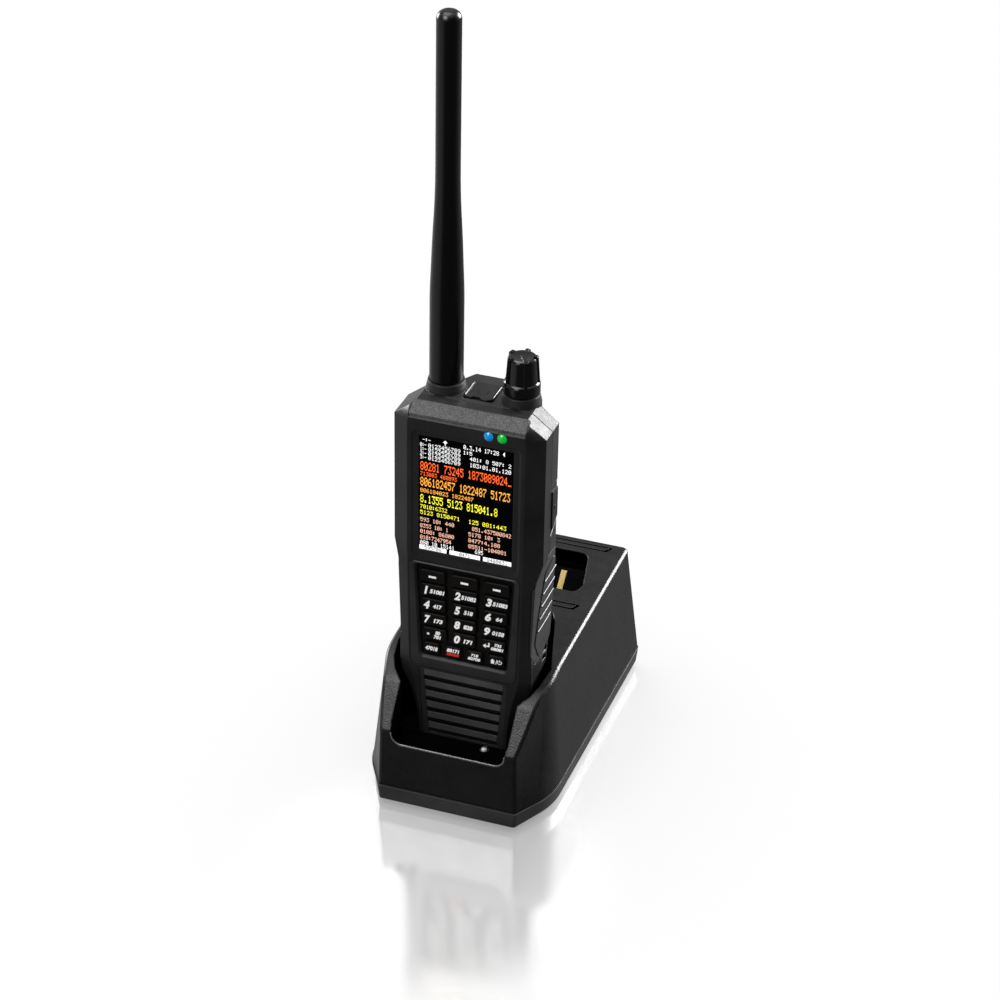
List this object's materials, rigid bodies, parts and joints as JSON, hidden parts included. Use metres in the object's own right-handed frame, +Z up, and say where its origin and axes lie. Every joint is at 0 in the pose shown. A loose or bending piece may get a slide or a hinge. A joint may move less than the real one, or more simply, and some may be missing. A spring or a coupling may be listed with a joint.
{
  "type": "handheld scanner radio in charging cradle",
  "caption": "Handheld scanner radio with colour display, keypad, volume knob and whip antenna, standing in a desktop charging cradle that has a well for a spare battery.",
  "frame": {"origin": "middle of the bounding box's footprint, on the desk the cradle stands on", "axes": "+X to the right seen from the front, +Y to the back, +Z up"},
  "size_m": [0.0798, 0.1216, 0.3138],
  "materials": {
    "case_plastic": "fine satin texture",
    "band_grey": "speckled satin",
    "rubber_seal": "matte",
    "window": "clear, glossy",
    "panel": "lit graphic panel",
    "frame_plastic": "satin",
    "plate_plastic": "matte",
    "key_rubber": "satin, printed legends",
    "grille_plastic": "satin",
    "speaker_metal": "matte",
    "board": "solder mask",
    "steel": "plated",
    "shaft_alloy": "machined",
    "knob_plastic": "glossy",
    "contact_gold": "gold plated",
    "antenna_rubber": "smooth, glossy",
    "black_plastic": "moulded",
    "flap_rubber": "soft satin",
    "grip_rubber": "soft satin",
    "battery_plastic": "fine satin texture",
    "cell_wrap": "shrink wrap over steel",
    "lens_blue": "lit lens",
    "lens_green": "lit lens",
    "lens_clear": "clear dome",
    "cradle_plastic": "fine spark texture",
    "base_plastic": "fine spark texture",
    "foot_rubber": "matte"
  },
  "bodies": {
    "cradle": {"cradle_housing": "cradle_plastic", "cradle_base": "base_plastic", "cradle_board": "board", "charge_led": "lens_clear", "bay_contacts": "contact_gold", "well_contacts": "contact_gold", "dc_jack": "black_plastic", "cradle_feet": "foot_rubber", "cradle_screws": "steel"},
    "radio": {"front_case": "case_plastic", "rear_case": "case_plastic", "case_seal": "rubber_seal", "top_band": "band_grey", "display_window": "window", "lcd_panel": "panel", "keypad_frame": "frame_plastic", "keypad_plate": "plate_plastic", "keypad_mat": "rubber_seal", "speaker_grille": "grille_plastic", "speaker": "speaker_metal", "main_board": "board", "encoder": "steel", "antenna_jack": "contact_gold", "headphone_jack": "black_plastic", "usb_socket": "steel", "case_screws": "steel", "battery_case": "battery_plastic", "battery_lid": "battery_plastic", "battery_cells": "cell_wrap", "battery_pads": "contact_gold", "led_blue": "lens_blue", "led_green": "lens_green", "side_grips": "grip_rubber"},
    "knob_stem": {"encoder_plunger": "black_plastic"},
    "knob": {"knob": "knob_plastic", "encoder_shaft": "shaft_alloy"},
    "antenna": {"antenna": "antenna_rubber", "antenna_connector": "contact_gold"},
    "headphone_flap": {"headphone_flap": "flap_rubber"},
    "port_cover": {"port_cover": "flap_rubber"},
    "battery_latch": {"battery_latch": "frame_plastic"},
    "key_soft_left": {"key_soft_left": "key_rubber"},
    "key_soft_middle": {"key_soft_middle": "key_rubber"},
    "key_soft_right": {"key_soft_right": "key_rubber"},
    "key_1": {"key_1": "key_rubber"},
    "key_2": {"key_2": "key_rubber"},
    "key_3": {"key_3": "key_rubber"},
    "key_4": {"key_4": "key_rubber"},
    "key_5": {"key_5": "key_rubber"},
    "key_6": {"key_6": "key_rubber"},
    "key_7": {"key_7": "key_rubber"},
    "key_8": {"key_8": "key_rubber"},
    "key_9": {"key_9": "key_rubber"},
    "key_point": {"key_point": "key_rubber"},
    "key_0": {"key_0": "key_rubber"},
    "key_enter": {"key_enter": "key_rubber"},
    "key_avoid": {"key_avoid": "key_rubber"},
    "key_record": {"key_record": "key_rubber"},
    "key_menu": {"key_menu": "key_rubber"},
    "key_power": {"key_power": "key_rubber"}
  },
  "joints": [
    {"name": "radio_lift", "type": "slide", "parent": "cradle", "child": "radio", "axis": [0, 0.0471, 0.9989], "range_m": [0, 0.12]},
    {"name": "knob_press", "type": "slide", "parent": "radio", "child": "knob_stem", "axis": [0, -0.0471, -0.9989], "range_m": [0, 0.0006], "stiffness_N_per_m": 1200},
    {"name": "knob_turn", "type": "hinge", "parent": "knob_stem", "child": "knob", "pos_m": [0.01475, -0.01607, 0.17836], "axis": [0, 0.0471, 0.9989], "continuous": true},
    {"name": "antenna_unscrew", "type": "slide", "parent": "radio", "child": "antenna", "axis": [0, 0.0471, 0.9989], "range_m": [0, 0.012]},
    {"name": "flap_open", "type": "hinge", "parent": "radio", "child": "headphone_flap", "pos_m": [0, -0.00955, 0.16589], "axis": [-1, 0, 0], "range_deg": [0, 110]},
    {"name": "port_cover_open", "type": "hinge", "parent": "radio", "child": "port_cover", "pos_m": [0.02885, -0.02158, 0.13578], "axis": [0, -0.9989, 0.0471], "range_deg": [0, 100]},
    {"name": "latch_lift", "type": "slide", "parent": "radio", "child": "battery_latch", "axis": [0, 0.0471, 0.9989], "range_m": [0, 0.0025], "stiffness_N_per_m": 300},
    {"name": "key_soft_left_press", "type": "slide", "parent": "radio", "child": "key_soft_left", "axis": [0, 0.9989, -0.0471], "range_m": [0, 0.0008], "stiffness_N_per_m": 400},
    {"name": "key_soft_middle_press", "type": "slide", "parent": "radio", "child": "key_soft_middle", "axis": [0, 0.9989, -0.0471], "range_m": [0, 0.0008], "stiffness_N_per_m": 400},
    {"name": "key_soft_right_press", "type": "slide", "parent": "radio", "child": "key_soft_right", "axis": [0, 0.9989, -0.0471], "range_m": [0, 0.0008], "stiffness_N_per_m": 400},
    {"name": "key_1_press", "type": "slide", "parent": "radio", "child": "key_1", "axis": [0, 0.9989, -0.0471], "range_m": [0, 0.0008], "stiffness_N_per_m": 400},
    {"name": "key_2_press", "type": "slide", "parent": "radio", "child": "key_2", "axis": [0, 0.9989, -0.0471], "range_m": [0, 0.0008], "stiffness_N_per_m": 400},
    {"name": "key_3_press", "type": "slide", "parent": "radio", "child": "key_3", "axis": [0, 0.9989, -0.0471], "range_m": [0, 0.0008], "stiffness_N_per_m": 400},
    {"name": "key_4_press", "type": "slide", "parent": "radio", "child": "key_4", "axis": [0, 0.9989, -0.0471], "range_m": [0, 0.0008], "stiffness_N_per_m": 400},
    {"name": "key_5_press", "type": "slide", "parent": "radio", "child": "key_5", "axis": [0, 0.9989, -0.0471], "range_m": [0, 0.0008], "stiffness_N_per_m": 400},
    {"name": "key_6_press", "type": "slide", "parent": "radio", "child": "key_6", "axis": [0, 0.9989, -0.0471], "range_m": [0, 0.0008], "stiffness_N_per_m": 400},
    {"name": "key_7_press", "type": "slide", "parent": "radio", "child": "key_7", "axis": [0, 0.9989, -0.0471], "range_m": [0, 0.0008], "stiffness_N_per_m": 400},
    {"name": "key_8_press", "type": "slide", "parent": "radio", "child": "key_8", "axis": [0, 0.9989, -0.0471], "range_m": [0, 0.0008], "stiffness_N_per_m": 400},
    {"name": "key_9_press", "type": "slide", "parent": "radio", "child": "key_9", "axis": [0, 0.9989, -0.0471], "range_m": [0, 0.0008], "stiffness_N_per_m": 400},
    {"name": "key_point_press", "type": "slide", "parent": "radio", "child": "key_point", "axis": [0, 0.9989, -0.0471], "range_m": [0, 0.0008], "stiffness_N_per_m": 400},
    {"name": "key_0_press", "type": "slide", "parent": "radio", "child": "key_0", "axis": [0, 0.9989, -0.0471], "range_m": [0, 0.0008], "stiffness_N_per_m": 400},
    {"name": "key_enter_press", "type": "slide", "parent": "radio", "child": "key_enter", "axis": [0, 0.9989, -0.0471], "range_m": [0, 0.0008], "stiffness_N_per_m": 400},
    {"name": "key_avoid_press", "type": "slide", "parent": "radio", "child": "key_avoid", "axis": [0, 0.9989, -0.0471], "range_m": [0, 0.0008], "stiffness_N_per_m": 400},
    {"name": "key_record_press", "type": "slide", "parent": "radio", "child": "key_record", "axis": [0, 0.9989, -0.0471], "range_m": [0, 0.0008], "stiffness_N_per_m": 400},
    {"name": "key_menu_press", "type": "slide", "parent": "radio", "child": "key_menu", "axis": [0, 0.9989, -0.0471], "range_m": [0, 0.0008], "stiffness_N_per_m": 400},
    {"name": "key_power_press", "type": "slide", "parent": "radio", "child": "key_power", "axis": [0, 0.9989, -0.0471], "range_m": [0, 0.0008], "stiffness_N_per_m": 400}
  ]
}
